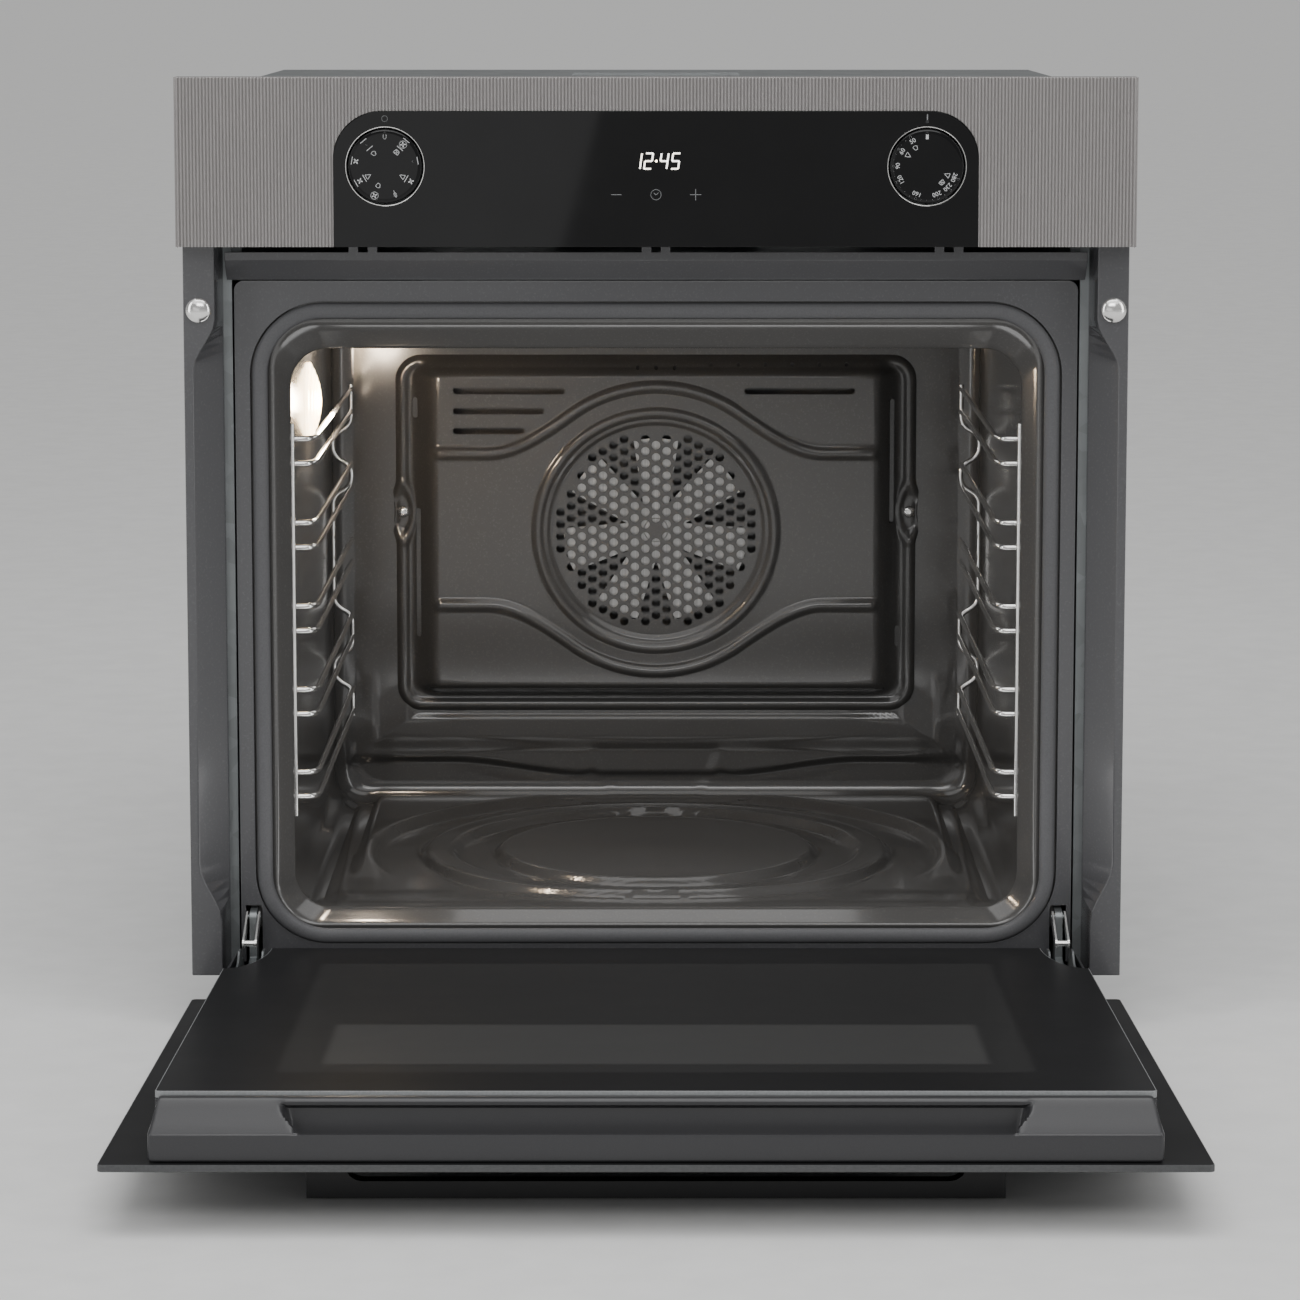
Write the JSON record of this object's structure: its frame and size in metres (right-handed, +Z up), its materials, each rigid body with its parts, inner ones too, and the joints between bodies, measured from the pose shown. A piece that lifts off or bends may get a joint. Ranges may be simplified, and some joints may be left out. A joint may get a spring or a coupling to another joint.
{
  "type": "wall oven",
  "caption": "Built-in wall oven with a drop-down glass door on link hinges, enamelled cavity, side racks, fan cover, two pop-out dials and a clock panel.",
  "frame": {"origin": "centre of the underside of the housing's base plate, which stands on the cabinet's shelf", "axes": "+Z up, +X to the right of a person facing the oven, +Y from the door into the oven; 1 unit is 1 m"},
  "size_m": [0.597, 1.0145, 0.6069],
  "materials": {
    "enamel": "vitreous enamel, grey, glossy",
    "ribbed_steel": "fine vertical ribs, grey",
    "zinc_steel": "galvanised",
    "chrome": "polished",
    "black_glass": "black printed glass",
    "smoked_glass": "dark coated heat glass",
    "coated_aluminium": "grey powder coat",
    "black_coat": "satin black",
    "silicone": "matt grey",
    "heater_steel": "heat-darkened sheath",
    "plastic": "black moulded",
    "circuit_board": "green laminate",
    "mineral_wool": "felted blanket",
    "lamp_glass": "clear borosilicate"
  },
  "bodies": {
    "housing": {"air_outlet": "enamel", "back_panel": "zinc_steel", "baffle_screw_left": "chrome", "baffle_screw_right": "chrome", "base_plate": "zinc_steel", "blower_housing": "zinc_steel", "blower_motor": "zinc_steel", "bottom_element": "heater_steel", "cable_gland": "plastic", "cavity_liner": "enamel", "circular_element": "heater_steel", "control_board": "circuit_board", "control_glass": "black_glass", "display_module": "plastic", "door_seal": "silicone", "fan_baffle": "enamel", "fan_motor": "zinc_steel", "fascia": "ribbed_steel", "front_frame": "enamel", "function_bezel": "chrome", "function_selector": "plastic", "grill_element": "heater_steel", "hinge_receiver_left": "zinc_steel", "hinge_receiver_right": "zinc_steel", "insulation_blanket": "mineral_wool", "lamp_bulb": "lamp_glass", "lamp_housing": "zinc_steel", "lamp_lens": "lamp_glass", "pillar_left": "enamel", "pillar_plug_left": "chrome", "pillar_plug_right": "chrome", "pillar_right": "enamel", "rack_left": "chrome", "rack_right": "chrome", "service_tray": "zinc_steel", "side_panel_left": "zinc_steel", "side_panel_right": "zinc_steel", "temperature_bezel": "chrome", "temperature_probe": "chrome", "thermostat": "plastic", "top_cover": "zinc_steel"},
    "door": {"outer_glass": "smoked_glass", "middle_glass": "smoked_glass", "inner_glass": "smoked_glass", "door_cap": "coated_aluminium", "door_side_left": "coated_aluminium", "door_side_right": "coated_aluminium", "door_handle": "black_coat", "handle_screw_left": "zinc_steel", "handle_screw_right": "zinc_steel", "hinge_channel_left": "zinc_steel", "hinge_channel_right": "zinc_steel"},
    "left_link": {"hinge_link_left": "chrome"},
    "right_link": {"hinge_link_right": "chrome"},
    "function_spindle": {"function_shaft": "chrome"},
    "function_dial": {"function_knob": "black_glass"},
    "temperature_spindle": {"temperature_shaft": "chrome"},
    "temperature_dial": {"temperature_knob": "black_glass"},
    "convection_fan": {"fan_impeller": "zinc_steel"},
    "cooling_fan": {"blower_wheel": "zinc_steel"}
  },
  "joints": [
    {"name": "door_hinge", "type": "hinge", "parent": "housing", "child": "door", "pos_m": [0, -0.2858, 0.0186], "axis": [-1, 0, 0], "range_deg": [0, 87.05]},
    {"name": "left_link_pivot", "type": "hinge", "parent": "housing", "child": "left_link", "pos_m": [-0.2584, -0.269, 0.0544], "axis": [-1, 0, 0], "range_deg": [0, 50.6]},
    {"name": "right_link_pivot", "type": "hinge", "parent": "housing", "child": "right_link", "pos_m": [0.2584, -0.269, 0.0544], "axis": [-1, 0, 0], "range_deg": [0, 50.6]},
    {"name": "function_turn", "type": "hinge", "parent": "housing", "child": "function_spindle", "pos_m": [-0.168, -0.2845, 0.537], "axis": [0, 1, 0], "range_deg": [0, 320]},
    {"name": "function_pop_out", "type": "slide", "parent": "function_spindle", "child": "function_dial", "axis": [0, -1, 0], "range_m": [0, 0.018]},
    {"name": "temperature_turn", "type": "hinge", "parent": "housing", "child": "temperature_spindle", "pos_m": [0.168, -0.2845, 0.537], "axis": [0, 1, 0], "range_deg": [0, 270]},
    {"name": "temperature_pop_out", "type": "slide", "parent": "temperature_spindle", "child": "temperature_dial", "axis": [0, -1, 0], "range_m": [0, 0.018]},
    {"name": "convection_fan_spin", "type": "hinge", "parent": "housing", "child": "convection_fan", "pos_m": [0, 0.1385, 0.253], "axis": [0, 1, 0], "continuous": true},
    {"name": "cooling_fan_spin", "type": "hinge", "parent": "housing", "child": "cooling_fan", "pos_m": [0, 0.1355, 0.48], "axis": [0, 0, 1], "continuous": true}
  ],
  "couplings": [
    {"joint": "left_link_pivot", "follows": "door_hinge", "ratio": 0.58},
    {"joint": "right_link_pivot", "follows": "door_hinge", "ratio": 0.58}
  ]
}
